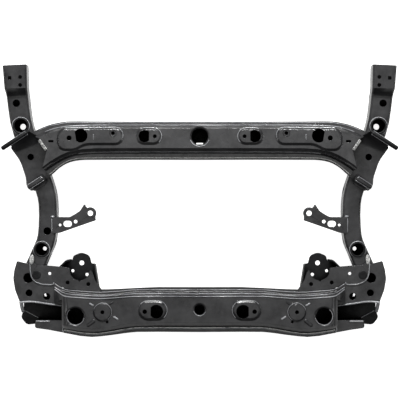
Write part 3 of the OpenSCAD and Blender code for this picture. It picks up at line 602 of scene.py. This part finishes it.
class SubframeWelds(bpy.types.PropertyGroup):
    """Size of the weld beads"""
    width: bpy.props.FloatProperty(name="Bead width", description="Width of a seam's bead",
                                   default=6.0 * MM, min=2 * MM, max=12 * MM, unit="LENGTH")
    height: bpy.props.FloatProperty(name="Bead height", description="Height of a seam's bead",
                                    default=2.2 * MM, min=0.5 * MM, max=5 * MM, unit="LENGTH")
    hem: bpy.props.FloatProperty(name="Hem radius", description="Radius of the rounded free edges",
                                 default=1.3 * MM, min=0.5 * MM, max=3 * MM, unit="LENGTH")
    pitch: bpy.props.FloatProperty(name="Ripple pitch",
                                   description="Distance between the ripples of a bead",
                                   default=3.0 * MM, min=1 * MM, max=8 * MM, unit="LENGTH")


class SubframeStage(bpy.types.PropertyGroup):
    """Floor, camera and light"""
    height: bpy.props.FloatProperty(name="Camera height", description="Height of the camera over the floor",
                                    default=2.705, min=1.0, max=6.0, unit="LENGTH")
    floor: bpy.props.StringProperty(name="Floor colour", description="sRGB hex colour of the floor",
                                    default="#c4c4c2")
    glow: bpy.props.FloatProperty(name="Floor light", description="Light that comes up through the floor",
                                  default=0.95, min=0.0, max=2.0)
    tent: bpy.props.FloatProperty(name="Tent light",
                                  description="Brightness of the white tent round the part",
                                  default=0.1, min=0.0, max=3.0)
    strip: bpy.props.FloatProperty(name="Strip light",
                                   description="Power of the low strip light at the front",
                                   default=160.0, min=0.0, max=900.0, unit="POWER")
    top: bpy.props.FloatProperty(name="Top light", description="Power of the wide light overhead",
                                 default=22.2, min=0.0, max=900.0, unit="POWER")
    sides: bpy.props.FloatProperty(name="Side lights",
                                   description="Power of each strip light at the sides",
                                   default=7.0, min=0.0, max=900.0, unit="POWER")


# Pieces

class SUBFRAME_OT_coat(bpy.types.Operator):
    """Coats every node, keeps the creases of the pressings and rounds the edges of the cut pieces"""
    bl_idname = "subframe.coat"
    bl_label = "Coat the steel"

    def execute(self, context):
        coat = context.scene.subframe_coat
        for name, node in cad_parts.items():
            node.data.materials.clear()
            # Nodes of pockets, brackets, outer arm plates, rear ears and collars get the near-black coat of
            # painted shade.
            if any(word in name for word in SHADE_PAINTED):
                node.data.materials.append(painted_shade_coat())
            else:
                node.data.materials.append(sheen_front_coat() if name == SHEEN_NODE else steel_coat())
            # Their faces over the rails' tops go back to the rails' coat; the rest keeps the painted shade.
            if TABBED in name:
                node.data.materials.append(steel_coat())
                for face in node.data.polygons:
                    face.material_index = int((node.matrix_world @ face.center).z > RAIL_TOP * MM)
            node.data.polygons.foreach_set("use_smooth", [True] * len(node.data.polygons))
            weld = node.modifiers.new("Join facets", "WELD")
            weld.merge_threshold = FACET_GAP * MM
            if any(word in name for word in PRESSED):
                split = node.modifiers.new("Keep creases", "EDGE_SPLIT")
                split.split_angle = math.radians(CREASE)
                split.use_edge_sharp = False
            else:
                soft = node.modifiers.new("Rounded edges", "BEVEL")
                soft.width = coat.edge
                soft.segments = EDGE_STEPS
                soft.limit_method = "ANGLE"
                soft.angle_limit = math.radians(SHEARED)
                soft.use_clamp_overlap = False
                soft.miter_outer = "MITER_ARC"
            even = node.modifiers.new("Even shading", "WEIGHTED_NORMAL")
            even.keep_sharp = False
            even.weight = FACE_WEIGHT
        return {"FINISHED"}


def rear_height(d, share):
    """Height on the rear crossmember's front wall, as a share of its rise over the flange."""
    return REAR_LAP + share * (curve(REAR_CREST, d) - REAR_LAP)


def seam(points, x0, x1, inset, z, step=4.0):
    """Left-to-right run along an edge of a crossmember."""
    count = int((x1 - x0) / step)
    stops = [x0 + (x1 - x0) * i / count for i in range(count + 1)]
    return [placed(x, curve(points, abs(x)) + inset, z(abs(x)) if callable(z) else z) for x in stops]


def half_round(width, height, sink, steps=7):
    """Points of a low rounded section, its foot sunk into the sheet."""
    angles = [math.pi * k / steps for k in range(steps + 1)]
    return [(width / 2 * math.cos(a), height * math.sin(a) - sink) for a in angles]


def add_hem(verts, faces, path, radius, crown=ROUND_CROWN):
    """The rounded free edge of a sheet."""
    ring = half_round(2 * radius, crown * radius, HEM_SINK * radius)
    add_sweep(verts, faces, path, lean_to(0, 0, 1), lambda s, length: ring)


class SUBFRAME_OT_flange_hems(bpy.types.Operator):
    """Rounds the free edges of both crossmembers' flanges, coloured lighter as painted highlight"""
    bl_idname = "subframe.flange_hems"
    bl_label = "Flange hems"

    def execute(self, context):
        radius = context.scene.subframe_welds.hem
        groups = (("front_flange_hems", FRONT_HEMS, highlight_coat(), ROUND_CROWN),
                  ("rear_flange_hems", REAR_HEMS, highlight_coat(), ROUND_CROWN),
                  ("worn_flange_hems", WORN_AND_HIGHLIGHT_HEMS, rubbed_and_highlight_steel(), RUBBED_CROWN))
        for name, hems, material, crown in groups:
            verts, faces = [], []
            for points, reach, inset, z in hems:
                add_hem(verts, faces, seam(points, -reach, reach, inset, z), radius, crown)
            make_piece(name, verts, faces, material)
        return {"FINISHED"}


class SUBFRAME_OT_rear_seams(bpy.types.Operator):
    """Welds the rear flange of the rear crossmember's two shells"""
    bl_idname = "subframe.rear_seams"
    bl_label = "Rear crossmember seams"

    def execute(self, context):
        weld = context.scene.subframe_welds
        verts, faces = [], []
        path = seam(REAR_EDGE_L, -REAR_SEAM_REACH, REAR_SEAM_REACH, 0, REAR_SEAM)
        add_bead(verts, faces, path, lean_to(0, -1, 1.3), weld.width, weld.height, weld.pitch,
                 SEEDS["rear"])
        # The bead takes the coat lightened as painted highlight.
        make_piece("rear_seam_welds", verts, faces, highlight_coat())
        return {"FINISHED"}


def rail_edge(y, across, z):
    """A point beside the left rail's centre line."""
    d = Vector((curve(RAIL_LINE, y + 1) - curve(RAIL_LINE, y - 1), 2.0)).normalized()
    return placed(curve(RAIL_LINE, y) + d.y * across, y - d.x * across, z)


class SUBFRAME_OT_rail_seams(bpy.types.Operator):
    """Welds the lap of each rail's upper shell over its lower shell"""
    bl_idname = "subframe.rail_seams"
    bl_label = "Rail seams"

    def execute(self, context):
        weld = context.scene.subframe_welds
        first, last = RAIL_RUN
        for side, name in zip(SIDES, ("left_rail_welds", "right_rail_welds")):
            verts, faces = [], []
            for edge in (-1, 1):
                path = []
                for i in range(RAIL_STOPS + 1):
                    y = first + (last - first) * i / RAIL_STOPS
                    half = curve(RAIL_WIDTH, y) / 2
                    path.append(rail_edge(y, edge * (half - RAIL_LAP), RAIL_SEAM + arm_lift(y)))
                add_bead(verts, faces, mirrored(path, side), lean_across(-0.8, edge * -side),
                         weld.width * RAIL_BEAD, weld.height * RAIL_BEAD, weld.pitch,
                         SEEDS["rail"] + edge + 3 * side)
            # The beads take the coat lightened as painted highlight.
            make_piece(name, verts, faces, highlight_coat())
        return {"FINISHED"}


def by_plate(origin, along, across, z, side):
    """A point by an arm plate: along it from its outer corner, across it to the front, and up."""
    point = placed(origin[0] + PLATE_RUN[0] * along - PLATE_RUN[1] * across,
                   origin[1] + PLATE_RUN[1] * along + PLATE_RUN[0] * across, z)
    return mirrored([point], side)[0]


def add_root(verts, faces, plate, side):
    """The floor of a pocket where it curves up into a plate."""
    origin, facing, ends = PLATE_ROOTS[plate]
    slope, curl = ROOT_POWERS
    bend = [(0.0, ROOT_HEEL)]
    for k in range(ROOT_STEPS + 1):
        near = 1 - k / ROOT_STEPS
        bend.append((k / ROOT_STEPS, ROOT_SLOPE * near ** slope + (1 - ROOT_SLOPE) * near ** curl))
    n = len(bend)
    for head, foot, reach, height in ends:
        verts += [by_plate(origin, head + (foot - head) * y, facing * reach * y,
                           FLOOR_TOP - ROOT_SINK + height * z, side) for y, z in bend]
    faces += [(k, (k + 1) % n, n + (k + 1) % n, n + k) for k in range(n)]
    faces += [tuple(range(n)), tuple(range(n, 2 * n))]


def add_roll(verts, faces, plate, side):
    """The rolled top edge of a plate, with rounded ends."""
    origin = PLATE_ROOTS[plate][0]
    first, last, across, z, radius = PLATE_ROLLS[plate]
    stops = [(first + share * radius, scale) for share, scale in ROLL_ENDS]
    stops += [(last - share * radius, scale) for share, scale in ROLL_ENDS[::-1]]
    turns = [math.tau * k / ROLL_SIDES for k in range(ROLL_SIDES)]
    for along, scale in stops:
        verts += [by_plate(origin, along, across + scale * radius * math.cos(turn),
                           z + scale * radius * math.sin(turn), side) for turn in turns]
    n = ROLL_SIDES
    for a in range(0, len(verts) - n, n):
        faces += [(a + k, a + (k + 1) % n, a + n + (k + 1) % n, a + n + k) for k in range(n)]
    faces += [tuple(range(n)), tuple(range(len(verts) - n, len(verts)))]


class SUBFRAME_OT_arm_pockets(bpy.types.Operator):
    """Curves the floor of each arm pocket up into its plates and rolls the plates' top edges"""
    bl_idname = "subframe.arm_pockets"
    bl_label = "Arm pockets"

    def execute(self, context):
        for side, name in zip(SIDES, ("left_arm_pocket", "right_arm_pocket")):
            # The front plates' rolls take the near-black coat of painted shade.
            for plate, material in (("front", painted_shade_coat()), ("rear", steel_coat())):
                verts, faces = [], []
                add_root(verts, faces, plate, side)
                root = make_piece(f"{name}_{plate}_root", verts, faces, steel_coat())
                root.data.set_sharp_from_angle(angle=math.radians(SHEARED))
                verts, faces = [], []
                add_roll(verts, faces, plate, side)
                make_piece(f"{name}_{plate}_roll", verts, faces, material)
            verts, faces = [], []
            for plate, across, first, last in ROLL_EDGES:
                z = PLATE_ROLLS[plate][3] + EDGE_RISE[plate]
                path = [by_plate(PLATE_ROOTS[plate][0], along, across, z, side)
                        for along in range(first, last, EDGE_STOP)]
                add_hem(verts, faces, path, ROLL_EDGE * MM)
            # The rolls' edges take the coat lightened as painted highlight.
            make_piece(f"{name}_roll_edges", verts, faces, highlight_coat())
        return {"FINISHED"}


def circle(at, radius, z, steps=72):
    """Points round an upright axis."""
    return [placed(at[0] + radius * math.cos(math.tau * k / steps),
                   at[1] + radius * math.sin(math.tau * k / steps), z) for k in range(steps)]


def lean_from(centre, up):
    """Crown facing away from an axis and up."""
    def lean(p, t):
        return Vector((p.x - centre.x, p.y - centre.y, 0)).normalized() + Vector((0, 0, up))
    return lean


class SUBFRAME_OT_bracket_welds(bpy.types.Operator):
    """Welds sleeves, gussets and brackets to rails and crossmembers and rounds the gussets' edges"""
    bl_idname = "subframe.bracket_welds"
    bl_label = "Bracket welds"

    def execute(self, context):
        weld = context.scene.subframe_welds
        for side, name in zip(SIDES, ("left_bracket_welds", "right_bracket_welds")):
            verts, faces = [], []
            runs = ((GUSSET_WELD, lean_across(1.2, -side)), (DIFF_SEAM, lean_to(side, 0, 1.2)),
                    (DIFF_TACK, lean_to(0, 1, 2)), (TRAY_END, lean_to(0, 0, 1)))
            for k, ((points, z, scale), lean) in enumerate(runs):
                path = mirrored([placed(x, y, z) for x, y in points], side)
                add_bead(verts, faces, path, lean, weld.width * scale, weld.height * scale,
                         weld.pitch, SEEDS["bracket"] + 2 * k + 20 * side)
            for k, (at, radius) in enumerate(SLEEVES):
                path = mirrored(circle(at, radius, SLEEVE_LINE), side)
                centre = mirrored([placed(at[0], at[1], 0)], side)[0]
                add_bead(verts, faces, path, lean_from(centre, 1.2), weld.width * SLEEVE_BEAD,
                         weld.height * SLEEVE_BEAD, weld.pitch, SEEDS["sleeve"] + 2 * k + 20 * side,
                         closed=True)
            path = mirrored([placed(x, y, GUSSET_HEM) for x, y in GUSSET_EDGE], side)
            add_hem(verts, faces, resample(soft_corners(path), HEM_STEP * MM)[0], weld.hem)
            # Beads and hem take the coat lightened as painted highlight.
            make_piece(name, verts, faces, highlight_coat())
        return {"FINISHED"}


def add_rib(verts, faces, a, b, width, height):
    """A short pressed rib with rounded ends."""
    path, total = resample([a, b], RIB_STEP * MM)

    def section(s, length):
        near = min(s, total - s) / (RIB_TAPER * width)
        end = math.sqrt(max(1 - (1 - min(near, 1)) ** 2, RIB_TIP))
        return half_round(width * end, height * end, RIB_SINK * MM)
    add_sweep(verts, faces, path, lean_to(0, 0, 1), section)


def add_ribs(verts, faces, ribs, side):
    """Ribs of a list, on the side asked for."""
    for x0, y0, x1, y1, z, width, height in ribs:
        a, b = mirrored([placed(x0, y0, z), placed(x1, y1, z)], side)
        add_rib(verts, faces, a, b, width * MM, height * MM)


class SUBFRAME_OT_ribs(bpy.types.Operator):
    """Presses ribs beside the bosses and a ring round a pad hole"""
    bl_idname = "subframe.ribs"
    bl_label = "Pressed ribs"

    def execute(self, context):
        verts, faces = [], []
        x, y, z, radius, width, height = HOLE_RING
        ring = half_round(width * MM, height * MM, RIB_SINK * MM)
        for side in SIDES:
            add_ribs(verts, faces, RIBS, side)
            path = mirrored(circle((x, y), radius, z, RING_STEPS), side)
            add_sweep(verts, faces, path, lean_to(0, 0, 1), lambda s, length: ring, closed=True)
        make_piece("pressed_ribs", verts, faces, steel_coat())
        return {"FINISHED"}


def rim(arcs, z):
    """Points along arcs that are given in the drawing's millimetres."""
    path = []
    for x, y, r, first, last in arcs:
        for k in range(ARC_STEPS + 1):
            turn = math.radians(first + (last - first) * k / ARC_STEPS)
            path.append(placed(x + r * math.cos(turn), y + r * math.sin(turn), z))
    return path


class SUBFRAME_OT_draw_lines(bpy.types.Operator):
    """Raises the thin draw lines on the rims of the pads and flanged holes, and two ribs, all in the coat
    lightened as painted highlight
    """
    bl_idname = "subframe.draw_lines"
    bl_label = "Draw lines"

    def execute(self, context):
        verts, faces = [], []
        points, mark_z, mark_radius = DRAW_MARK
        for side in SIDES:
            for arcs, z, radius in RIMS:
                add_hem(verts, faces, mirrored(rim(arcs, z), side), radius * MM)
            path = mirrored([placed(x, y, mark_z) for x, y in points], side)
            add_hem(verts, faces, resample(path, HEM_STEP * MM)[0], mark_radius * MM)
            add_ribs(verts, faces, HIGHLIGHT_RIBS, side)
        for arcs, z, radius in MIDDLE_RIMS:
            add_hem(verts, faces, rim(arcs, z), radius * MM)
        make_piece("draw_lines", verts, faces, highlight_coat())
        return {"FINISHED"}


class SUBFRAME_OT_gusset_discs(bpy.types.Operator):
    """Sets a flat round near-black disc on each gusset, in the pocket coat"""
    bl_idname = "subframe.gusset_plugs"
    bl_label = "Gusset plugs"

    def execute(self, context):
        x, y, radius = GUSSET_DISC
        steps = DISC_STEPS
        for side, name in zip(SIDES, ("left_gusset_plug", "right_gusset_plug")):
            verts = []
            for share, rise in DISC_PROFILE:
                verts += mirrored(circle((x, y), radius * share, GUSSET_TOP + rise, steps), side)
            top = len(verts) - steps
            faces = [(a + k, a + (k + 1) % steps, a + steps + (k + 1) % steps, a + steps + k)
                     for a in range(0, top, steps) for k in range(steps)]
            faces += [tuple(range(steps)), tuple(range(top, top + steps))]
            make_piece(name, verts, faces, painted_shade_coat())
        return {"FINISHED"}


def dented_lip(side):
    """Section of a lip that bends down and is dented a little along its run."""
    along, out = DENT_RATE

    def section(s, length):
        top = []
        for k in range(LIP_STEPS + 1):
            t = k / LIP_STEPS
            dent = LIP_DENT * noise.noise(Vector((s * along, out * t, side)))
            top.append((-side * LIP_REACH * t * MM, (-LIP_DROP * t * t + dent) * MM))
        return top + [(a, h - SHEET * MM) for a, h in top[::-1]]
    return section


class SUBFRAME_OT_worn_and_highlight_edges(bpy.types.Operator):
    """Turned-down ends of the front crossmember's skin and tabs of the gussets, worn to the steel and
    lightened as painted highlight
    """
    bl_idname = "subframe.worn_edges"
    bl_label = "Worn edges"

    def execute(self, context):
        weld = context.scene.subframe_welds
        for side, name in zip(SIDES, ("left_worn_edges", "right_worn_edges")):
            verts, faces = [], []
            path, _ = resample([placed(x, y, LIP_TOP) for x, y in END_LIP], LIP_STOP * MM)
            add_sweep(verts, faces, mirrored(path, side), lean_to(0, 0, 1), dented_lip(side))
            path = mirrored([placed(x, y, GUSSET_TOP) for x, y in GUSSET_TAB], side)
            add_bead(verts, faces, path, lean_to(0, 0, 1), TAB_WIDTH * MM, TAB_HEIGHT * MM,
                     weld.pitch * TAB_PITCH, SEEDS["tab"] + side)
            make_piece(name, verts, faces, worn_and_highlight_steel())
        return {"FINISHED"}


class SUBFRAME_OT_link_pockets(bpy.types.Operator):
    """Rolls the free edges of the link pockets and bends their outer lips"""
    bl_idname = "subframe.link_pockets"
    bl_label = "Link pocket edges"

    def execute(self, context):
        for side, name in zip(SIDES, ("left_link_pocket_hems", "right_link_pocket_hems")):
            verts, faces = [], []
            for points, z, radius in LINK_HEMS:
                path = mirrored([placed(x, y, z) for x, y in points], side)
                add_hem(verts, faces, resample(soft_corners(path), HEM_STEP * MM)[0], radius * MM)
            points, z, half, stop = LINK_LIP
            path = mirrored([placed(x, y, z) for x, y in points], side)
            strip = [(-half * MM, 0), (half * MM, 0), (half * MM, SHEET * MM), (-half * MM, SHEET * MM)]
            add_sweep(verts, faces, resample(path, stop * MM)[0], lean_to(0, 0, 1), lambda s, length: strip)
            # Hems and lip take the coat lightened as painted highlight.
            make_piece(name, verts, faces, highlight_coat())
        return {"FINISHED"}


def add_floor(stage):
    """A wide sheet under the part."""
    half, z = FLOOR_HALF, -FLOOR_DROP
    mesh = bpy.data.meshes.new("floor")
    corners = [(-half, -half, z), (half, -half, z), (half, half, z), (-half, half, z)]
    mesh.from_pydata(corners, [], [(0, 1, 2, 3)])
    mesh.materials.append(floor_sheet(stage))
    floor = bpy.data.objects.new("floor", mesh)
    bpy.context.scene.collection.objects.link(floor)


def add_tent(stage):
    """Faint even white light from all round."""
    world = bpy.data.worlds.new("white_tent")
    world.use_nodes = True
    tent = world.node_tree.nodes["Background"]
    tent.inputs["Color"].default_value = linear("#ffffff")
    tent.inputs["Strength"].default_value = stage.tent
    bpy.context.scene.world = world


def add_lamp(name, power, place, width, depth):
    """A flat light that faces the part."""
    lamp = bpy.data.lights.new(name, "AREA")
    lamp.shape = "RECTANGLE"
    lamp.size, lamp.size_y = width, depth
    lamp.energy = power
    light = bpy.data.objects.new(name, lamp)
    light.location = place
    light.rotation_euler = (LIT_POINT - light.location).to_track_quat("-Z", "Y").to_euler()
    bpy.context.scene.collection.objects.link(light)


def add_camera(stage):
    """Camera that looks straight down."""
    lens = bpy.data.cameras.new("camera")
    lens.sensor_width = SENSOR
    lens.lens = LENS
    lens.clip_end = SIGHT
    camera = bpy.data.objects.new("camera", lens)
    camera.location = (CAMERA_X * MM, SHIFT_Y * MM, stage.height)
    bpy.context.scene.collection.objects.link(camera)
    bpy.context.scene.camera = camera


class SUBFRAME_OT_stage(bpy.types.Operator):
    """Pale floor, white tent, a wide light overhead, three strip lights and the camera straight above"""
    bl_idname = "subframe.stage"
    bl_label = "Studio"

    def execute(self, context):
        stage = context.scene.subframe_stage
        add_floor(stage)
        add_tent(stage)
        for name, setting, place, width, depth in LAMPS:
            add_lamp(name, getattr(stage, setting), place, width, depth)
        add_camera(stage)
        context.scene.view_settings.view_transform = "Standard"
        return {"FINISHED"}


class SUBFRAME_PT_pieces(bpy.types.Panel):
    """Lists the pieces of the subframe's looks"""
    bl_label = "Subframe"
    bl_idname = "SUBFRAME_PT_pieces"
    bl_space_type = "VIEW_3D"
    bl_region_type = "UI"
    bl_category = "Subframe"

    def draw(self, context):
        for name in GROUPS:
            box = self.layout.box()
            group = getattr(context.scene, name)
            for key in group.__annotations__:
                box.prop(group, key)
        for step in STEPS:
            self.layout.operator(step.bl_idname)


GROUPS = {"subframe_coat": SubframeCoat, "subframe_welds": SubframeWelds,
          "subframe_stage": SubframeStage}
STEPS = (SUBFRAME_OT_stage, SUBFRAME_OT_coat, SUBFRAME_OT_flange_hems, SUBFRAME_OT_rear_seams,
         SUBFRAME_OT_rail_seams, SUBFRAME_OT_arm_pockets, SUBFRAME_OT_bracket_welds, SUBFRAME_OT_ribs,
         SUBFRAME_OT_draw_lines, SUBFRAME_OT_gusset_discs, SUBFRAME_OT_worn_and_highlight_edges,
         SUBFRAME_OT_link_pockets)
CLASSES = tuple(GROUPS.values()) + STEPS + (SUBFRAME_PT_pieces,)


def register():
    for cls in CLASSES:
        bpy.utils.register_class(cls)
    for name, group in GROUPS.items():
        setattr(bpy.types.Scene, name, bpy.props.PointerProperty(type=group))


def unregister():
    for name in GROUPS:
        delattr(bpy.types.Scene, name)
    for cls in reversed(CLASSES):
        bpy.utils.unregister_class(cls)


def main():
    register()
    for step in STEPS:
        group, name = step.bl_idname.split(".")
        getattr(getattr(bpy.ops, group), name)()


if __name__ == "__main__":
    main()
